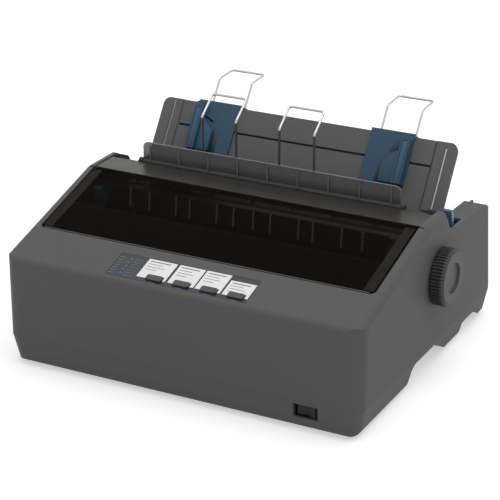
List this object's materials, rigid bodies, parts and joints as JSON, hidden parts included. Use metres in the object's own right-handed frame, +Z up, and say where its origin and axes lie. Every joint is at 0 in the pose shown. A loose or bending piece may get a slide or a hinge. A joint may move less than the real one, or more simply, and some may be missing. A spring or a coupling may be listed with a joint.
{
  "type": "dot matrix printer",
  "caption": "Grey desktop dot matrix printer with a smoked hinged cover, reclining sheet guide with blue edge guides, wire paper supports, side platen knob and rear tractors.",
  "frame": {"origin": "centre of the bounding box in plan, on the table under the feet", "axes": "+X to the right along the platen, towards the knob; +Y from the front panel to the back; +Z up"},
  "size_m": [0.362, 0.315, 0.2133],
  "materials": {
    "case_plastic": "fine textured",
    "foot_rubber": "matt",
    "steel": "satin",
    "deck_plastic": "textured",
    "film": "satin",
    "card": "printed",
    "light_lens": "clear",
    "black_plastic": "satin",
    "inner_plastic": "satin",
    "plated_steel": "zinc plated",
    "nylon": "natural",
    "motor_metal": "satin",
    "belt_rubber": "matt",
    "board": "varnished",
    "core_metal": "varnished",
    "cover_smoke": "smoked, clear",
    "button_plastic": "satin",
    "blue_plastic": "fine textured",
    "wire_metal": "plated",
    "clear_smoke": "smoked, clear",
    "platen_rubber": "ground",
    "knob_plastic": "satin",
    "brass": "turned",
    "head_metal": "cast"
  },
  "bodies": {
    "chassis": {"lower_case": "case_plastic", "upper_case": "case_plastic", "feet": "foot_rubber", "case_screws": "steel", "deck_panel": "deck_plastic", "panel_film": "film", "panel_cards": "card", "panel_lights": "light_lens", "switch_and_sockets": "black_plastic", "eject_guide": "inner_plastic", "side_frames": "plated_steel", "chassis_plate": "plated_steel", "paper_pan": "plated_steel", "platen_bushes": "nylon", "motors": "motor_metal", "fixed_shafts": "steel", "carriage_belt": "belt_rubber", "ribbon_cartridge": "inner_plastic", "circuit_boards": "board", "power_supply": "core_metal"},
    "cover": {"printer_cover": "cover_smoke"},
    "button_1_key": {"button_1": "button_plastic"},
    "button_2_key": {"button_2": "button_plastic"},
    "button_3_key": {"button_3": "button_plastic"},
    "button_4_key": {"button_4": "button_plastic"},
    "rocker": {"power_rocker": "black_plastic"},
    "sheet_guide": {"paper_guide": "case_plastic"},
    "edge_left": {"edge_guide_left": "blue_plastic"},
    "tall_wire_left": {"rear_wire_left": "wire_metal"},
    "edge_right": {"edge_guide_right": "blue_plastic"},
    "tall_wire_right": {"rear_wire_right": "wire_metal"},
    "separator": {"paper_separator": "clear_smoke"},
    "sheet_wire_left": {"front_wire_left": "wire_metal"},
    "sheet_wire_right": {"front_wire_right": "wire_metal"},
    "release": {"release_lever": "blue_plastic"},
    "thickness": {"thickness_lever": "blue_plastic"},
    "platen": {"platen_roller": "platen_rubber", "platen_shaft": "steel", "platen_gear": "nylon", "platen_knob": "knob_plastic"},
    "reduction": {"reduction_gear": "nylon"},
    "pinion": {"feed_pinion": "brass"},
    "idler": {"idler_gear": "nylon"},
    "tractor_drive": {"tractor_shaft": "steel", "tractor_gear": "nylon"},
    "pressers": {"pressure_rollers": "platen_rubber"},
    "ejectors": {"eject_rollers": "platen_rubber"},
    "tractor_unit_left": {"tractor_left": "inner_plastic"},
    "wheel_left": {"sprocket_left": "nylon"},
    "door_left": {"tractor_door_left": "inner_plastic"},
    "lock_left": {"tractor_lock_left": "blue_plastic"},
    "tractor_unit_right": {"tractor_right": "inner_plastic"},
    "wheel_right": {"sprocket_right": "nylon"},
    "door_right": {"tractor_door_right": "inner_plastic"},
    "lock_right": {"tractor_lock_right": "blue_plastic"},
    "carriage_unit": {"carriage": "inner_plastic", "print_head": "head_metal"},
    "drive_pulley": {"motor_pulley": "brass"},
    "idler_pulley": {"belt_idler": "nylon"},
    "ribbon_winder": {"ribbon_knob": "knob_plastic"}
  },
  "joints": [
    {"name": "cover_hinge", "type": "hinge", "parent": "chassis", "child": "cover", "pos_m": [-0.007, -0.0164, 0.14236], "axis": [-1, 0, 0], "range_deg": [0, 105]},
    {"name": "button_1_press", "type": "slide", "parent": "chassis", "child": "button_1_key", "axis": [0, 0.2728, -0.9621], "range_m": [0, 0.001], "stiffness_N_per_m": 300, "springref_m": -0.001},
    {"name": "button_2_press", "type": "slide", "parent": "chassis", "child": "button_2_key", "axis": [0, 0.2728, -0.9621], "range_m": [0, 0.001], "stiffness_N_per_m": 300, "springref_m": -0.001},
    {"name": "button_3_press", "type": "slide", "parent": "chassis", "child": "button_3_key", "axis": [0, 0.2728, -0.9621], "range_m": [0, 0.001], "stiffness_N_per_m": 300, "springref_m": -0.001},
    {"name": "button_4_press", "type": "slide", "parent": "chassis", "child": "button_4_key", "axis": [0, 0.2728, -0.9621], "range_m": [0, 0.001], "stiffness_N_per_m": 300, "springref_m": -0.001},
    {"name": "rocker_pivot", "type": "hinge", "parent": "chassis", "child": "rocker", "pos_m": [0.1175, -0.1495, 0.02], "axis": [0, 0, 1], "range_deg": [0, 14]},
    {"name": "guide_tilt", "type": "hinge", "parent": "chassis", "child": "sheet_guide", "pos_m": [-0.007, 0.05823, 0.11525], "axis": [-1, 0, 0], "range_deg": [0, 30]},
    {"name": "edge_left_slide", "type": "slide", "parent": "sheet_guide", "child": "edge_left", "axis": [1, 0, 0], "range_m": [-0.01, 0.06]},
    {"name": "tall_wire_left_slide", "type": "slide", "parent": "edge_left", "child": "tall_wire_left", "axis": [0, -0.5635, -0.8261], "range_m": [0, 0.018]},
    {"name": "edge_right_slide", "type": "slide", "parent": "sheet_guide", "child": "edge_right", "axis": [1, 0, 0], "range_m": [-0.06, 0.018]},
    {"name": "tall_wire_right_slide", "type": "slide", "parent": "edge_right", "child": "tall_wire_right", "axis": [0, -0.5635, -0.8261], "range_m": [0, 0.018]},
    {"name": "separator_tilt", "type": "hinge", "parent": "chassis", "child": "separator", "pos_m": [-0.007, 0.0198, 0.1437], "axis": [1, 0, 0], "range_deg": [-30, 15]},
    {"name": "sheet_wire_left_slide", "type": "slide", "parent": "separator", "child": "sheet_wire_left", "axis": [0, 0, -1], "range_m": [0, 0.009]},
    {"name": "sheet_wire_right_slide", "type": "slide", "parent": "separator", "child": "sheet_wire_right", "axis": [0, 0, -1], "range_m": [0, 0.009]},
    {"name": "release_pivot", "type": "hinge", "parent": "chassis", "child": "release", "pos_m": [-0.007, 0.055, 0.074], "axis": [1, 0, 0], "range_deg": [-6, 4]},
    {"name": "thickness_pivot", "type": "hinge", "parent": "chassis", "child": "thickness", "pos_m": [-0.007, -0.03, 0.084], "axis": [1, 0, 0], "range_deg": [-8, 8]},
    {"name": "platen_turn", "type": "hinge", "parent": "chassis", "child": "platen", "pos_m": [-0.007, 0.01, 0.0904], "axis": [1, 0, 0], "continuous": true},
    {"name": "reduction_turn", "type": "hinge", "parent": "chassis", "child": "reduction", "pos_m": [-0.007, 0.00565, 0.06573], "axis": [1, 0, 0], "continuous": true},
    {"name": "pinion_turn", "type": "hinge", "parent": "chassis", "child": "pinion", "pos_m": [-0.007, 0.0224, 0.04578], "axis": [1, 0, 0], "continuous": true},
    {"name": "idler_turn", "type": "hinge", "parent": "chassis", "child": "idler", "pos_m": [-0.007, 0.05302, 0.08884], "axis": [1, 0, 0], "continuous": true},
    {"name": "tractor_turn", "type": "hinge", "parent": "chassis", "child": "tractor_drive", "pos_m": [-0.007, 0.09201, 0.098], "axis": [1, 0, 0], "continuous": true},
    {"name": "presser_turn", "type": "hinge", "parent": "chassis", "child": "pressers", "pos_m": [-0.007, 0.0107, 0.07036], "axis": [1, 0, 0], "continuous": true},
    {"name": "ejector_turn", "type": "hinge", "parent": "chassis", "child": "ejectors", "pos_m": [-0.007, -0.015, 0.122], "axis": [1, 0, 0], "continuous": true},
    {"name": "tractor_left_slide", "type": "slide", "parent": "chassis", "child": "tractor_unit_left", "axis": [1, 0, 0], "range_m": [-0.003, 0.06]},
    {"name": "wheel_left_turn", "type": "hinge", "parent": "tractor_unit_left", "child": "wheel_left", "pos_m": [-0.1213, 0.09201, 0.098], "axis": [1, 0, 0], "continuous": true},
    {"name": "door_left_hinge", "type": "hinge", "parent": "tractor_unit_left", "child": "door_left", "pos_m": [-0.1303, 0.09487, 0.11132], "axis": [0, -0.9778, 0.2096], "range_deg": [0, 95]},
    {"name": "lock_left_turn", "type": "hinge", "parent": "tractor_unit_left", "child": "lock_left", "pos_m": [-0.1213, 0.12001, 0.092], "axis": [1, 0, 0], "range_deg": [0, 35]},
    {"name": "tractor_right_slide", "type": "slide", "parent": "chassis", "child": "tractor_unit_right", "axis": [1, 0, 0], "range_m": [-0.06, 0.003]},
    {"name": "wheel_right_turn", "type": "hinge", "parent": "tractor_unit_right", "child": "wheel_right", "pos_m": [0.1073, 0.09201, 0.098], "axis": [1, 0, 0], "continuous": true},
    {"name": "door_right_hinge", "type": "hinge", "parent": "tractor_unit_right", "child": "door_right", "pos_m": [0.1163, 0.09487, 0.11132], "axis": [0, 0.9778, -0.2096], "range_deg": [0, 95]},
    {"name": "lock_right_turn", "type": "hinge", "parent": "tractor_unit_right", "child": "lock_right", "pos_m": [0.1073, 0.12001, 0.092], "axis": [1, 0, 0], "range_deg": [0, 35]},
    {"name": "carriage_slide", "type": "slide", "parent": "chassis", "child": "carriage_unit", "axis": [1, 0, 0], "range_m": [-0.041, 0.161]},
    {"name": "drive_pulley_turn", "type": "hinge", "parent": "chassis", "child": "drive_pulley", "pos_m": [-0.125, -0.064, 0.06], "axis": [0, 0, 1], "continuous": true},
    {"name": "idler_pulley_turn", "type": "hinge", "parent": "chassis", "child": "idler_pulley", "pos_m": [0.111, -0.064, 0.06], "axis": [0, 0, 1], "continuous": true},
    {"name": "ribbon_winder_turn", "type": "hinge", "parent": "chassis", "child": "ribbon_winder", "pos_m": [0.089, -0.0745, 0.096], "axis": [0, 0, 1], "continuous": true}
  ],
  "couplings": [
    {"joint": "reduction_turn", "follows": "platen_turn", "ratio": -2.5714},
    {"joint": "pinion_turn", "follows": "platen_turn", "ratio": 8.5714},
    {"joint": "idler_turn", "follows": "platen_turn", "ratio": -0.72},
    {"joint": "tractor_turn", "follows": "platen_turn", "ratio": 1.2},
    {"joint": "presser_turn", "follows": "platen_turn", "ratio": -2.3333},
    {"joint": "ejector_turn", "follows": "platen_turn", "ratio": 3.1111},
    {"joint": "wheel_left_turn", "follows": "platen_turn", "ratio": 1.2},
    {"joint": "wheel_right_turn", "follows": "platen_turn", "ratio": 1.2},
    {"joint": "drive_pulley_turn", "follows": "carriage_slide", "rad_per_m": -144.93},
    {"joint": "idler_pulley_turn", "follows": "carriage_slide", "rad_per_m": -144.93}
  ]
}
